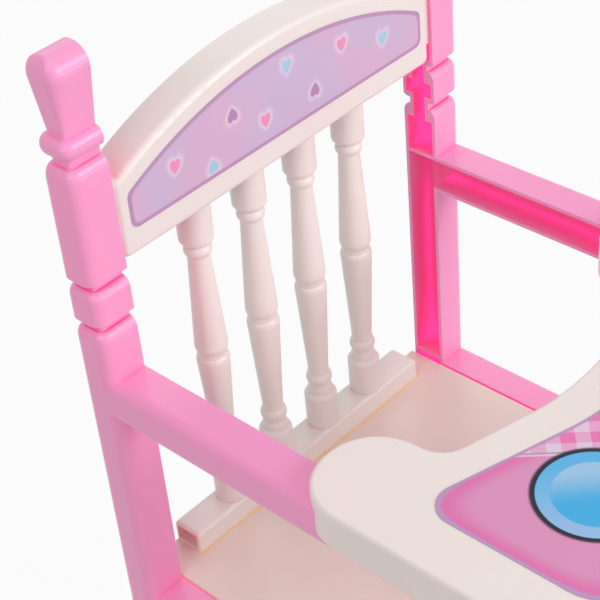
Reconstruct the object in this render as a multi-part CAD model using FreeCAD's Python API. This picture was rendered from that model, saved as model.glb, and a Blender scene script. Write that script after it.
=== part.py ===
"""Toy high chair for dolls.

Two hollow pink side frames, open towards the inside, carry a cream back with four turned spindles,
a seat, a footrest, two turned stretchers and a tray that slides on the armrests.

Millimetres. +Z is up, the chair faces -Y, +X is the chair's right side seen from its front,
and the origin is on the floor under the middle of the whole chair.
"""

import FreeCAD, Part
import math
import os

V = FreeCAD.Vector

# ---------------------------------------------------------------- driving dimensions
inner_width = 240.0          # clear width between the two side frames
overall_depth = 369.0        # front edge of the tray to the back of the rear feet
seat_height = 270.0          # floor to the top of the seat
arm_above_seat = 160.0       # seat to the top of the armrests
arm_span = 200.0             # front post to back post, clear
rear_foot_reach = 57.0       # rear feet behind the front face of the back posts

# side frames
post_width = 24.0            # along X
post_depth = 23.0            # along Y
bar_height = 24.0            # armrest, seat rail and lower rung
edge_radius = 7.0            # outer edges of every bar and post
wall = 2.2                   # wall of the hollow mouldings
rib = 1.8                    # stiffening ribs
rib_root = 0.1               # how far a rib of the side frame reaches into the walls around it
turn_depth = 4.8             # how far the turned grooves and necks are cut in
front_splay = 6.0            # degrees, front legs
rear_splay = 7.5             # degrees, rear legs
rung_height = 62.0           # floor to the underside of the lower rungs

# turned profile of the back posts, heights above the armrest
lower_block_top = 25.8
small_block_bottom = 37.7
small_block_top = 51.6
main_block_bottom = 62.7
main_block_top = 128.5
bead_middle = 139.0
bead_height = 11.0
finial_top = 187.0
finial_neck_recess = 4.8
finial_round = 10.5          # radius of the rounded top of the finial
finial_side_round = 6.0      # the same towards the outside
finial_flare = 0.6           # recess left where the finial is widest
lip_height = 1.6
shoulder_height = 7.5        # rounded top of the main block

# back: crest rail, spindles and lower rail
crest_gap = 1.2              # between the crest and each side frame
crest_bottom = 65.0          # above the armrest
crest_rise = 74.5            # bottom edge to the top of the arch
crest_drop = 30.63           # how far the arch falls from its middle to its ends
crest_thick = 21.5
crest_setback = 1.5          # front face of the crest behind the front face of the posts
crest_wall = 2.4
tenon_height = 34.0
tenon_length = 15.0
spindle_pitch = 40.5
spindle_setback = 15.0       # spindle axis behind the posts' front faces
spindle_count = 4
spindle_base = 20.0          # diameter of the plain cylinders at both ends
spindle_belly = 19.0         # widest diameter of the two tapers
spindle_neck = 12.5
spindle_bead = 15.8
spindle_waist = 16.5         # groove at mid length
peg_diameter = 9.0
peg_length = 8.0
rail_length = 199.0
rail_depth = 20.0
rail_height = 14.5

# seat
shelf_gap = 2.6              # from the seat's top up to the shelf in each back post
seat_gap = 1.2               # between the seat and each side frame
seat_thick = 3.0
seat_rib = 8.0               # depth of the ribs under the seat
seat_overhang = 6.0          # seat in front of the front posts
tab_length = 26.0
tab_reach = 17.0             # seat tab inside the seat rail

# tray
tray_setback = 124.5         # rear end of the tray's ears in front of the back posts
tray_belly = 181.0           # middle of the belly edge in front of the back posts
tray_half_width = 148.0
tray_rise = 8.0              # tray top above the armrest
tray_thick = 2.6
tray_skirt = 21.0            # full height of the tray's rim
ear_width = 61.0
ear_radius = 29.5
ear_toe = 9.0                # rounding of the rim's lower corner at the rear of each ear
belly_corner = 17.0
belly_sag = 11.5             # how much further forward the belly edge is in its middle
belly_bow = 150.0
front_corner = 46.0
front_bow = 700.0
front_bulge = 11.0           # how much further forward the front is in its middle than at its sides
tray_rib = 8.0
tray_play = 0.4              # running clearance between tray and armrest
tray_travel = 50.0
runner_thick = 2.0
label_side_margin = 29.0     # bare tray round the label: at the sides,
label_front_margin = 24.5    # at the front,
label_ear_margin = 9.5       # towards the ears
label_belly_margin = 23.0    # and towards the belly
label_thick = 0.3

# clips that hold the tray on the armrests
clip_length = 34.0
clip_thick = 2.4
lug_height = 7.0
lug_reach = 8.0

# footrest and stretchers
footrest_height = 128.0      # floor to its top
footrest_reach = 62.0        # in front of the front legs' middle
footrest_thick = 3.0
footrest_skirt = 12.0
stretcher_diameter = 18.0
stretcher_height = 74.0      # floor to its axis

# leg caps and screws
cap_thick = 4.0
cap_plug = 10.0
fit = 0.3                    # clearance round anything that plugs in
screw_shank = 3.0
screw_head = 6.4
screw_head_height = 2.2
screw_length = 12.0
boss_diameter = 8.0

# ---------------------------------------------------------------- places worked out from them
half_inner = inner_width / 2
half_outer = half_inner + post_width
post_front = overall_depth / 2 - rear_foot_reach
post_back = post_front + post_depth
front_post_back = post_front - arm_span
front_post_front = front_post_back - post_depth
arm_top = seat_height + arm_above_seat
arm_bottom = arm_top - bar_height
rail_bottom = seat_height - bar_height
spindle_y = post_front + spindle_setback
rail_back = spindle_y + rail_depth / 2
crest_half = half_inner - crest_gap
crest_arch_radius = (crest_half ** 2 + crest_drop ** 2) / (2 * crest_drop)
crest_low = arm_top + crest_bottom
crest_high = crest_low + crest_rise
crest_front = post_front + crest_setback
crest_back = crest_front + crest_thick
rail_top = seat_height + rail_height
tray_top = arm_top + tray_rise
tray_low = tray_top - tray_skirt
tray_back = post_front - tray_setback
tray_front = -overall_depth / 2
big = 4 * overall_depth


# ---------------------------------------------------------------- small helpers
def box(x0, x1, y0, y1, z0, z1):
    """Box between two corners, given in any order."""
    low = V(min(x0, x1), min(y0, y1), min(z0, z1))
    return Part.makeBox(abs(x1 - x0), abs(y1 - y0), abs(z1 - z0), low)


def rod(diameter, start, direction, length):
    """Cylinder of the given diameter from start along direction."""
    return Part.makeCylinder(diameter / 2, length, start, direction)


def mirrored(shape):
    """The same piece on the other side of the chair."""
    return shape.mirror(V(0, 0, 0), V(1, 0, 0))


def both_sides(shapes):
    """The given pieces and their mirror images."""
    return list(shapes) + [mirrored(shape) for shape in shapes]


def fused(shapes):
    """One solid made of overlapping ones."""
    return shapes[0].multiFuse(shapes[1:]).removeSplitter()


def section(z, y0, y1, x_out, radius):
    """Outline of a post at height z: square at the inner side, rounded at the two outer corners."""
    turn = radius * (1 - math.sqrt(0.5))
    points = [
        V(half_inner, y0, z), V(x_out - radius, y0, z), V(x_out, y0 + radius, z),
        V(x_out, y1 - radius, z), V(x_out - radius, y1, z), V(half_inner, y1, z),
    ]
    near = V(x_out - turn, y0 + turn, z)
    far = V(x_out - turn, y1 - turn, z)
    return Part.Wire([
        Part.makeLine(points[0], points[1]),
        Part.Arc(points[1], near, points[2]).toShape(),
        Part.makeLine(points[2], points[3]),
        Part.Arc(points[3], far, points[4]).toShape(),
        Part.makeLine(points[4], points[5]),
        Part.makeLine(points[5], points[0]),
    ])


def turned_post(y0, stations):
    """Post whose outline follows stations of (height, recess at front and back, recess outside)."""
    wires = []
    for height, recess, side in stations:
        radius = max(edge_radius - max(recess, side), 0.9)
        wires.append(section(height, y0 + recess, y0 + post_depth - recess, half_outer - side, radius))
    return Part.makeLoft(wires, True, True)


def pocket(y0, low, high, recess):
    """Hollow of a post between two heights, one wall inside an outline recessed by recess."""
    inset = recess + wall
    radius = max(edge_radius - inset, 0.9)
    outline = section(low, y0 + inset, y0 + post_depth - inset, half_outer - inset, radius)
    hollow = Part.Face(outline).extrude(V(0, 0, high - low))
    mouth = box(half_inner - 1, half_inner, y0 + inset, y0 + post_depth - inset, low, high)
    return hollow.fuse(mouth)


def bar(y0, y1, low, high, inset):
    """Horizontal bar of a side frame, or with an inset of one wall, its hollow."""
    radius = edge_radius - inset
    bottom = low + inset
    top = high - inset
    out = half_outer - inset
    turn = radius * (1 - math.sqrt(0.5))
    inner = half_inner if inset == 0 else half_inner - 1
    points = [
        V(inner, y0, bottom), V(out - radius, y0, bottom), V(out, y0, bottom + radius),
        V(out, y0, top - radius), V(out - radius, y0, top), V(inner, y0, top),
    ]
    wire = Part.Wire([
        Part.makeLine(points[0], points[1]),
        Part.Arc(points[1], V(out - turn, y0, bottom + turn), points[2]).toShape(),
        Part.makeLine(points[2], points[3]),
        Part.Arc(points[3], V(out - turn, y0, top - turn), points[4]).toShape(),
        Part.makeLine(points[4], points[5]),
        Part.makeLine(points[5], points[0]),
    ])
    return Part.Face(wire).extrude(V(0, y1 - y0, 0))


def quarter_round(start, end, depth, steps=5):
    """Stations of a shoulder that rounds from the full outline at start to a recess of depth at end."""
    turns = [k * math.pi / 2 / steps for k in range(steps + 1)]
    return [(start + (end - start) * math.sin(a), depth * (1 - math.cos(a)), depth * (1 - math.cos(a)))
            for a in turns]


def groove(low, high):
    """Stations of a turned groove: a rounded shoulder on the block below, a crisp lip on the one above."""
    shoulder = quarter_round(low, (low + high) / 2, turn_depth)
    lip = quarter_round(high, high - lip_height, turn_depth, 2)
    return shoulder + lip[::-1]


def bead(middle, height, steps=8):
    """Stations of a turned bead that stands out of a neck."""
    turns = [-math.pi / 2 + k * math.pi / steps for k in range(steps + 1)]
    return [(middle + height / 2 * math.sin(a), turn_depth * (1 - math.cos(a)),
             turn_depth * (1 - math.cos(a))) for a in turns]


def screw(seat, direction, length=screw_length):
    """Pan-head screw: seat is where its head rests, direction is the way it is driven."""
    axis = V(direction).normalize()
    head = rod(screw_head, seat, axis * -1, screw_head_height)
    crown = max(head.Edges, key=lambda edge: (edge.CenterOfMass - seat).dot(axis * -1))
    head = head.makeFillet(screw_head_height * 0.45, [crown])
    return head.fuse(rod(screw_shank, seat, axis, length)).removeSplitter()


def screw_hole(seat, direction, length=screw_length):
    """Hole for a screw, with a little room round and past its shank."""
    axis = V(direction).normalize()
    return rod(screw_shank + 0.2, seat - axis, axis, length + 2)


def rounded_outline(corners, z):
    """Closed outline at height z through corners of (x, y, radius), each turned by an arc of its radius."""
    count = len(corners)
    starts, middles, ends = [], [], []
    for k, (x, y, radius) in enumerate(corners):
        here = V(x, y, z)
        back = (V(corners[k - 1][0], corners[k - 1][1], z) - here).normalize()
        ahead = (V(corners[(k + 1) % count][0], corners[(k + 1) % count][1], z) - here).normalize()
        half = back.getAngle(ahead) / 2
        reach = radius / math.tan(half)
        centre = here + (back + ahead).normalize() * (radius / math.sin(half))
        starts.append(here + back * reach)
        ends.append(here + ahead * reach)
        middles.append(centre + (here - centre).normalize() * radius)
    edges = []
    for k in range(count):
        edges.append(Part.Arc(starts[k], middles[k], ends[k]).toShape())
        edges.append(Part.makeLine(ends[k], starts[(k + 1) % count]))
    return Part.Wire(edges)


def plate(outline, height):
    """Flat plate of an outline, upwards from it."""
    return Part.Face(outline).extrude(V(0, 0, height))


def edges_at(shape, axis, place):
    """Edges of a shape that lie wholly at one place along an axis."""
    low = {"x": "XMin", "y": "YMin", "z": "ZMin"}[axis]
    high = {"x": "XMax", "y": "YMax", "z": "ZMax"}[axis]
    return [edge for edge in shape.Edges
            if abs(getattr(edge.BoundBox, low) - place) < 0.01
            and abs(getattr(edge.BoundBox, high) - place) < 0.01]


def edges_along(shape, axis, length):
    """Straight edges of at least a length that run along an axis."""
    found = []
    for edge in shape.Edges:
        bounds = edge.BoundBox
        spans = {"x": bounds.XLength, "y": bounds.YLength, "z": bounds.ZLength}
        across = sum(size for name, size in spans.items() if name != axis)
        if spans[axis] >= length and across < 0.01:
            found.append(edge)
    return found


def lathe(profile, start, direction):
    """Solid turned about the line from start along direction, from (distance, radius) pairs.

    A pair may carry a third number: the radius of the bulge or hollow between it and the pair before.
    """
    axis = V(direction).normalize()
    out = V(0, 1, 0)
    place = lambda pair: start + axis * pair[0] + out * pair[1]
    edges = [Part.makeLine(start + axis * profile[0][0], place(profile[0]))]
    for before, after in zip(profile, profile[1:]):
        if len(after) == 3:
            middle = ((before[0] + after[0]) / 2, after[2])
            edges.append(Part.Arc(place(before), place(middle), place(after)).toShape())
        else:
            edges.append(Part.makeLine(place(before), place(after)))
    edges.append(Part.makeLine(place(profile[-1]), start + axis * profile[-1][0]))
    edges.append(Part.makeLine(start + axis * profile[-1][0], start + axis * profile[0][0]))
    return Part.Face(Part.Wire(edges)).revolve(start, axis, 360)


# ---------------------------------------------------------------- legs
leg_pivot_z = seat_height - bar_height / 2
front_pivot = V(0, front_post_front + post_depth / 2, leg_pivot_z)
rear_pivot = V(0, post_front + post_depth / 2, leg_pivot_z)


def splay(shape, front):
    """A shape made on an upright leg, turned with the splayed leg."""
    turned = shape.copy()
    pivot, angle = (front_pivot, -front_splay) if front else (rear_pivot, rear_splay)
    turned.rotate(pivot, V(1, 0, 0), angle)
    return turned


def leg_y(height, front):
    """Middle of a leg at a height above the floor."""
    if front:
        return front_pivot.y - (leg_pivot_z - height) * math.tan(math.radians(front_splay))
    return rear_pivot.y + (leg_pivot_z - height) * math.tan(math.radians(rear_splay))


def upright_z(height, front):
    """Height on the upright leg of what ends up at a height above the floor."""
    angle = front_splay if front else rear_splay
    return leg_pivot_z - (leg_pivot_z - height) / math.cos(math.radians(angle))


def leg_blocks(front):
    """Heights (low, high) of the blocks of an upright leg, from the foot up, with grooves between."""
    groove_height = small_block_bottom - lower_block_top
    block = small_block_top - small_block_bottom
    foot = upright_z(0, front) - 12
    ankle = upright_z(rung_height - 8, front)
    knee = rail_bottom - 2.2 * block
    return [
        (foot, ankle - block - 2 * groove_height),
        (ankle - block - groove_height, ankle - groove_height),
        (ankle, knee - 2 * groove_height - block),
        (knee - groove_height - block, knee - groove_height),
        (knee, leg_pivot_z + edge_radius),
    ]


def block_stations(blocks):
    """Stations of a post made of blocks with turned grooves between them."""
    stations = [(blocks[0][0], 0.0, 0.0)]
    for below, above in zip(blocks, blocks[1:]):
        stations += groove(below[1], above[0])
    return stations + [(blocks[-1][1], 0.0, 0.0)]


def block_pockets(y0, blocks):
    """Hollows of a post made of blocks: one in each block and a narrow one through all the grooves."""
    hollows = [pocket(y0, blocks[0][0], blocks[-1][1] - wall, turn_depth)]
    hollows.append(pocket(y0, blocks[0][0], blocks[0][1] - wall, 0))
    for low, high in blocks[1:]:
        hollows.append(pocket(y0, low + wall, high - wall, 0))
    return hollows


def leg_y0(front):
    """Front face of the upright leg."""
    return front_post_front if front else post_front


def leg_outer(front):
    """Outside of a splayed leg, longer than it needs to be at the foot."""
    return splay(turned_post(leg_y0(front), block_stations(leg_blocks(front))), front)


def leg_hollow(front):
    """Hollow of a splayed leg, up to the underside of the seat rail."""
    hollow = splay(fused(block_pockets(leg_y0(front), leg_blocks(front))), front)
    return hollow.common(box(0, big, -big, big, -big, rail_bottom))


# ---------------------------------------------------------------- side frame
def back_post_blocks():
    """Heights of the three plain blocks of a back post, from the seat up."""
    return [
        (rail_bottom + edge_radius, arm_top + lower_block_top),
        (arm_top + small_block_bottom, arm_top + small_block_top),
        (arm_top + main_block_bottom, arm_top + main_block_top - shoulder_height),
    ]


def back_post_outer():
    """Back post: blocks and grooves, a bead and a flared finial with a rounded top."""
    stations = block_stations(back_post_blocks())[:-1]
    block_end = arm_top + main_block_top
    stations += quarter_round(block_end - shoulder_height, block_end, turn_depth)
    middle = arm_top + bead_middle
    stations += bead(middle, bead_height)
    stations.append((middle + bead_height / 2 + 1.5, finial_neck_recess, finial_neck_recess))
    crown = arm_top + finial_top
    widest = crown - finial_round
    steps = 7
    for k in range(steps + 1):
        a = k * math.radians(83) / steps
        stations.append((
            widest + finial_round * math.sin(a),
            finial_flare + (finial_round - 0.4) * (1 - math.cos(a)),
            finial_flare + finial_side_round * (1 - math.cos(a)),
        ))
    return turned_post(post_front, stations)


def front_post_blocks():
    """Heights of the plain blocks of a front post between the seat and the armrest."""
    groove_height = small_block_bottom - lower_block_top
    block = small_block_top - small_block_bottom
    middle = seat_height + (arm_bottom - seat_height) / 2
    return [
        (rail_bottom + edge_radius, middle - block / 2 - groove_height),
        (middle - block / 2, middle + block / 2),
        (middle + block / 2 + groove_height, arm_top - edge_radius),
    ]


def front_post_outer():
    """Front post, rounded over at the end of the armrest."""
    stations = block_stations(front_post_blocks())[:-1]
    for k in range(6):
        a = k * math.pi / 10
        fall = edge_radius * (1 - math.cos(a))
        stations.append((arm_top - edge_radius + edge_radius * math.sin(a), fall, fall))
    return turned_post(front_post_front, stations)


def side_frame():
    """The frame on the +X side: one moulding, hollow and open towards the inside of the chair."""
    rung_front = leg_y(rung_height, True)
    rung_rear = leg_y(rung_height, False)
    rung_top = rung_height + bar_height
    outside = fused([
        back_post_outer(),
        front_post_outer(),
        leg_outer(True),
        leg_outer(False),
        bar(front_post_front + edge_radius, post_front + edge_radius, arm_bottom, arm_top, 0),
        bar(front_post_front + edge_radius, post_back - edge_radius, rail_bottom, seat_height, 0),
        bar(rung_front, rung_rear, rung_height, rung_top, 0),
    ])
    outside = outside.cut(box(-big, big, -big, big, -big, cap_thick))
    hollows = [
        pocket(post_front, seat_height, arm_top + finial_top - finial_round - wall, turn_depth),
        pocket(post_front, seat_height - wall - 1, back_post_blocks()[0][1] - wall, 0),
        pocket(front_post_front, seat_height, arm_bottom + edge_radius, turn_depth),
        pocket(front_post_front, seat_height, front_post_blocks()[0][1] - wall, 0),
        pocket(front_post_front, front_post_blocks()[2][0] + wall, arm_bottom + edge_radius, 0),
        bar(front_post_front + wall, post_front + edge_radius, arm_bottom, arm_top, wall),
        bar(front_post_front + wall, post_back - wall, rail_bottom, seat_height, wall),
        bar(rung_front, rung_rear, rung_height, rung_top, wall),
        leg_hollow(True),
        leg_hollow(False),
    ]
    for low, high in back_post_blocks()[1:]:
        hollows.append(pocket(post_front, low + wall, high - wall, 0))
    low, high = front_post_blocks()[1]
    hollows.append(pocket(front_post_front, low + wall, high - wall, 0))
    frame = outside.cut(fused(hollows))
    return frame.multiFuse(frame_ribs()).removeSplitter()


def frame_ribs():
    """Cross ribs inside the channels of the +X side frame."""
    inset = wall - rib_root
    x0 = half_inner
    x1 = half_outer - inset
    shelf = seat_height + shelf_gap
    ribs = [
        box(x0, x1, post_front + inset, post_back - inset, arm_top - wall, arm_top),
        box(x0, x1, post_front + inset, post_back - inset, shelf, shelf + wall),
        box(x0, x1, post_front + inset, post_back - inset, tenon_low - 2 * fit - rib, tenon_low - 2 * fit),
        box(x0, x1, front_post_front + inset, front_post_back - inset,
            seat_height + rib, seat_height + 2 * rib),
    ]
    for share in (0.3, 0.7):
        y = front_post_back + share * arm_span
        ribs.append(box(x0, x1, y, y + rib, rail_bottom + inset, seat_height - inset))
        ribs.append(box(x0, x1, y, y + rib, rung_height + inset, rung_height + bar_height - inset))
    for front in (True, False):
        y0 = leg_y0(front)
        for height in (rung_height + bar_height + 20, rail_bottom - 20):
            z = upright_z(height, front)
            ribs.append(splay(box(x0, x1, y0 + inset, y0 + post_depth - inset, z, z + rib), front))
    return ribs


# ---------------------------------------------------------------- back
tenon_low = crest_low + 12.0
tenon_screw = V(half_inner + 8, post_back, tenon_low + tenon_height / 2)


def arch(inset, y0, y1):
    """Front view of the crest drawn in by an inset, between two depths."""
    low = crest_low + inset
    half = crest_half - inset
    body = box(-half, half, y0, y1, low, crest_high + 1)
    centre = V(0, y0, crest_high - crest_arch_radius)
    disc = Part.makeCylinder(crest_arch_radius - inset, y1 - y0, centre, V(0, 1, 0))
    return body.common(disc)


def spindle_places():
    """Middle of each spindle across the chair, from left to right."""
    first = -(spindle_count - 1) / 2 * spindle_pitch
    return [first + k * spindle_pitch for k in range(spindle_count)]


def crest_rail():
    """Arched top rail: a shell open at the back, with sockets for the spindles and a tenon at each end."""
    outside = arch(0, crest_front, crest_back)
    outside = outside.makeFillet(4.5, edges_along(outside, "y", crest_thick - 1))
    outside = outside.makeFillet(3.5, edges_at(outside, "y", crest_front))
    shell = outside.cut(arch(crest_wall, crest_front + crest_wall, crest_back + 1))
    additions = []
    socket = peg_diameter + 2 * wall
    for x in spindle_places():
        additions.append(rod(socket, V(x, spindle_y, crest_low + crest_wall / 2), V(0, 0, 1), peg_length + 3))
    inside = arch(crest_wall / 2, crest_front + crest_wall / 2, crest_back - 2)
    for k in range(spindle_count + 1):
        x = (k - spindle_count / 2) * spindle_pitch
        rib_box = box(x - rib / 2, x + rib / 2, crest_front, crest_back, crest_low, crest_high)
        additions.append(rib_box.common(inside))
    deep = post_depth - 2 * wall - 2 * fit
    y0 = post_front + wall + fit
    tenon = box(crest_half - 6, half_inner + tenon_length, y0, y0 + deep, tenon_low, tenon_low + tenon_height)
    additions += both_sides([tenon])
    shell = shell.multiFuse(additions)
    cuts = [rod(peg_diameter + fit, V(x, spindle_y, crest_low - 1), V(0, 0, 1), peg_length + 1 + fit)
            for x in spindle_places()]
    cuts += both_sides([screw_hole(tenon_screw, V(0, -1, 0))])
    return shell.cut(fused(cuts)).removeSplitter()


def crest_label():
    """Thin label on the front of the crest, its top edge following the arch."""
    low = crest_low + 15.0
    half = crest_half - 7.3
    body = box(-half, half, crest_front - label_thick, crest_front, low, crest_high)
    centre = V(0, crest_front - label_thick, crest_high - crest_arch_radius)
    disc = Part.makeCylinder(crest_arch_radius - 10.5, label_thick, centre, V(0, 1, 0))
    label = body.common(disc)
    corners = [edge for edge in label.Edges
               if abs(edge.BoundBox.YLength - label_thick) < 0.01 and edge.BoundBox.XLength < 0.01]
    return label.makeFillet(5.0, corners)


def spindle(x):
    """Turned spindle: plain cylinders at both ends, a bead by each, and two tapers that meet at a groove."""
    low = rail_top
    high = crest_low
    base = spindle_base / 2
    neck = spindle_neck / 2
    belly = spindle_belly / 2
    bump = spindle_bead / 2
    lower_end = low + 43.0
    upper_end = high - 34.5
    middle = (lower_end + upper_end) / 2
    profile = [
        (low - peg_length, peg_diameter / 2 - 0.8), (low - peg_length + 0.8, peg_diameter / 2),
        (low, peg_diameter / 2), (low, base - 0.6), (low + 0.6, base),
        (low + 22.4, base), (low + 25.0, base - 2.6, base - 0.5),
        (low + 28.2, base - 2.6), (low + 30.2, neck + 0.5), (low + 32.2, neck + 0.5),
        (low + 39.4, neck + 0.3, bump), (lower_end, neck),
        (middle - 5.0, belly), (middle - 3.0, belly - 0.4), (middle - 1.8, spindle_waist / 2),
        (middle + 1.2, spindle_waist / 2), (middle + 2.6, belly - 0.5), (middle + 5.0, belly),
        (upper_end, neck), (high - 28.0, neck + 0.3, bump), (high - 26.6, neck + 0.3),
        (high - 23.4, base - 0.3, base - 0.8), (high, base - 0.3),
        (high, peg_diameter / 2), (high + peg_length - 0.8, peg_diameter / 2),
        (high + peg_length, peg_diameter / 2 - 0.8),
    ]
    start = V(x, spindle_y, 0)
    return lathe(profile, start, V(0, 0, 1))


def rail_screw_places():
    """Screws of the lower rail, half-way between the spindles."""
    spots = spindle_places()
    return [V((a + b) / 2, spindle_y, seat_height - seat_thick) for a, b in zip(spots, spots[1:])]


def back_bottom_rail():
    """Lower rail of the back: a tube open at both ends that carries the spindles and stands on the seat."""
    half = rail_length / 2
    y0 = rail_back - rail_depth
    outside = box(-half, half, y0, rail_back, seat_height, rail_top)
    outside = outside.makeFillet(2.6, [edge for edge in edges_at(outside, "z", rail_top)])
    outside = outside.makeFillet(1.5, edges_along(outside, "z", rail_height - 3))
    hollow = box(-half - 1, half + 1, y0 + wall, rail_back - wall, seat_height + wall, rail_top - wall)
    bosses, holes = [], []
    for x in spindle_places():
        at = V(x, spindle_y, seat_height + wall / 2)
        bosses.append(rod(peg_diameter + 2 * wall, at, V(0, 0, 1), rail_height - wall))
        holes.append(rod(peg_diameter + fit, V(x, spindle_y, rail_top + 1), V(0, 0, -1), peg_length + 1 + fit))
    for at in rail_screw_places():
        foot = V(at.x, at.y, seat_height + wall / 2)
        bosses.append(rod(boss_diameter, foot, V(0, 0, 1), rail_height - wall))
        holes.append(screw_hole(at, V(0, 0, 1), rail_height - 3))
    return outside.cut(hollow).multiFuse(bosses).cut(fused(holes)).removeSplitter()


# ---------------------------------------------------------------- seat
seat_skirt = bar_height - wall
seat_front = front_post_front - seat_overhang
seat_half = half_inner - seat_gap
tab_middles = (post_front - 0.13 * arm_span, post_front - 0.87 * arm_span)


def seat_screw_places():
    """Screws up through the seat rail into the seat's tabs, +X side."""
    return [V(half_inner + tab_reach / 2, y, rail_bottom) for y in tab_middles]


def seat_panel():
    """Seat: a flat top with a rim all round, ribs below, and two tabs each side inside the seat rails."""
    low = seat_height - seat_skirt
    outside = box(-seat_half, seat_half, seat_front, rail_back, low, seat_height)
    uprights = edges_along(outside, "z", seat_skirt - 1)
    outside = outside.makeFillet(6.0, [edge for edge in uprights if edge.BoundBox.YMax < 0])
    outside = outside.makeFillet(1.2, edges_at(outside, "z", seat_height))
    hollow = box(-seat_half + wall, seat_half - wall, seat_front + wall, rail_back - wall,
                 low - 1, seat_height - seat_thick)
    hollow = hollow.makeFillet(3.8, [edge for edge in edges_along(hollow, "z", 5) if edge.BoundBox.YMax < 0])
    seat = outside.cut(hollow)
    additions = []
    for k in (-1, 0, 1):
        x = k * seat_half / 2
        additions.append(box(x - rib / 2, x + rib / 2, seat_front + 1, rail_back - rail_depth - 1,
                             seat_height - seat_thick - seat_rib, seat_height - 1))
    for y in tab_middles:
        additions.append(box(-seat_half + 1, seat_half - 1, y - rib / 2, y + rib / 2,
                             seat_height - seat_thick - seat_rib, seat_height - 1))
        tab = box(seat_half - 8, half_inner + tab_reach, y - tab_length / 2, y + tab_length / 2,
                  low, low + seat_skirt * 0.6)
        additions += both_sides([tab])
    seat = seat.multiFuse(additions)
    holes = both_sides([screw_hole(at, V(0, 0, 1)) for at in seat_screw_places()])
    holes += [screw_hole(at, V(0, 0, 1)) for at in rail_screw_places()]
    return seat.cut(fused(holes)).removeSplitter()


# ---------------------------------------------------------------- tray
belly_side = post_front - tray_belly + belly_sag
belly_middle = post_front - tray_belly - belly_sag
ear_inner = tray_half_width - ear_width
deck_under = tray_top - tray_thick
front_lead = front_bow * (1 / math.cos(math.atan(front_bulge / tray_half_width)) - 1)
clip_boss = 9.0
clip_screw_x = half_inner - 9.0
clip_front = front_post_front + wall + 2 * tray_play + tray_travel
clip_rear = clip_front + clip_length
clip_middle = clip_front + clip_length / 2


def tray_outline(z):
    """Outline of the tray: two ears reaching back over the armrests, a hollow for the belly, a bowed front."""
    half = [
        (ear_inner, belly_side, belly_corner), (ear_inner, tray_back, ear_radius),
        (tray_half_width, tray_back, ear_radius), (tray_half_width, tray_front + front_bulge, front_corner),
    ]
    left = [(-x, y, radius) for x, y, radius in half[::-1]]
    return rounded_outline(
        [(0, belly_middle, belly_bow)] + half + [(0, tray_front - front_lead, front_bow)] + left, z)


def clip_post(y):
    """Boss under the tray that a clip is screwed to, +X side."""
    return rod(boss_diameter, V(clip_screw_x, y, deck_under - clip_boss), V(0, 0, 1), clip_boss + 1)


def tray():
    """Tray: a deck with a rim all round, notched at the back of each ear to pass over the armrest."""
    outside = plate(tray_outline(tray_low), tray_skirt)
    outside = outside.makeFillet(2.2, edges_at(outside, "z", tray_top))
    inner = tray_outline(tray_low - 1).makeOffset2D(-wall)
    hollow = plate(inner, tray_skirt + 1 - tray_thick)
    shell = outside.cut(hollow)
    corner = ear_toe
    toe = box(0, tray_half_width + 1, tray_back - corner, tray_back + 1, tray_low - 1, tray_low + corner)
    keep = Part.makeCylinder(corner, tray_half_width + 2, V(-0.5, tray_back - corner, tray_low + corner), V(1, 0, 0))
    notch = box(half_inner - 2 * tray_play, half_outer + 2 * tray_play, tray_back - ear_radius,
                tray_back + 1, tray_low - 1, arm_top + tray_play)
    shell = shell.cut(fused(both_sides([toe.cut(keep), notch])))
    runner_end = front_post_front + edge_radius
    additions = []
    for x in (half_inner + 3, half_inner + 13):
        additions.append(box(x, x + runner_thick, tray_back - 8, runner_end, arm_top + tray_play, deck_under + 1))
    guide = half_inner - 2 * tray_play
    additions.append(box(guide - runner_thick, guide, clip_front - 6, runner_end,
                         arm_top - 9, deck_under + 1))
    stop = front_post_front - 2 * tray_play
    additions.append(box(half_inner + 2, tray_half_width - wall / 2, stop - runner_thick, stop,
                         arm_top - 12, deck_under + 1))
    additions.append(clip_post(clip_middle))
    additions = both_sides(additions)
    for x in (-60.0, 0.0, 60.0):
        additions.append(box(x - rib / 2, x + rib / 2, tray_front + 6, belly_middle - 2,
                             deck_under - tray_rib, deck_under + 1))
    inside = plate(tray_outline(tray_low).makeOffset2D(-wall / 2), tray_skirt - 1)
    shell = shell.multiFuse([piece.common(inside) for piece in additions])
    holes = both_sides([screw_hole(clip_screw_seat(), V(0, 0, 1), clip_boss)])
    return shell.cut(fused(holes)).removeSplitter()


def clip_screw_seat():
    """Underside of a clip's foot, where its screw head rests."""
    return V(clip_screw_x, clip_middle, deck_under - clip_boss - clip_thick)


def tray_clip():
    """Clip under the tray, +X side: its lug runs in the hollow of the armrest and keeps the tray down."""
    face = half_inner - 2 * tray_play
    foot_low = deck_under - clip_boss - clip_thick
    lug_low = foot_low - lug_height - 2
    parts = [
        box(clip_screw_x - 5.5, face, clip_front, clip_rear, foot_low, foot_low + clip_thick),
        box(face - clip_thick, face, clip_front, clip_rear, lug_low, foot_low + clip_thick),
        box(face - 1, face + lug_reach, clip_front, clip_rear, lug_low, lug_low + lug_height),
    ]
    clip = fused(parts)
    clip = clip.makeFillet(1.5, [edge for edge in edges_along(clip, "y", clip_length - 1)
                                 if edge.BoundBox.XMin > face + lug_reach - 0.01])
    return clip.cut(screw_hole(clip_screw_seat(), V(0, 0, 1), clip_boss))


def tray_label():
    """Thin printed label on the tray, following the belly edge and the front corners."""
    half_width = tray_half_width - label_side_margin
    front = tray_front + label_front_margin
    outline = rounded_outline([
        (0, belly_middle - label_belly_margin, 120.0),
        (half_width, belly_side - label_ear_margin, 14.0), (half_width, front, 24.0),
        (-half_width, front, 24.0), (-half_width, belly_side - label_ear_margin, 14.0),
    ], tray_top)
    return plate(outline, label_thick)


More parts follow.
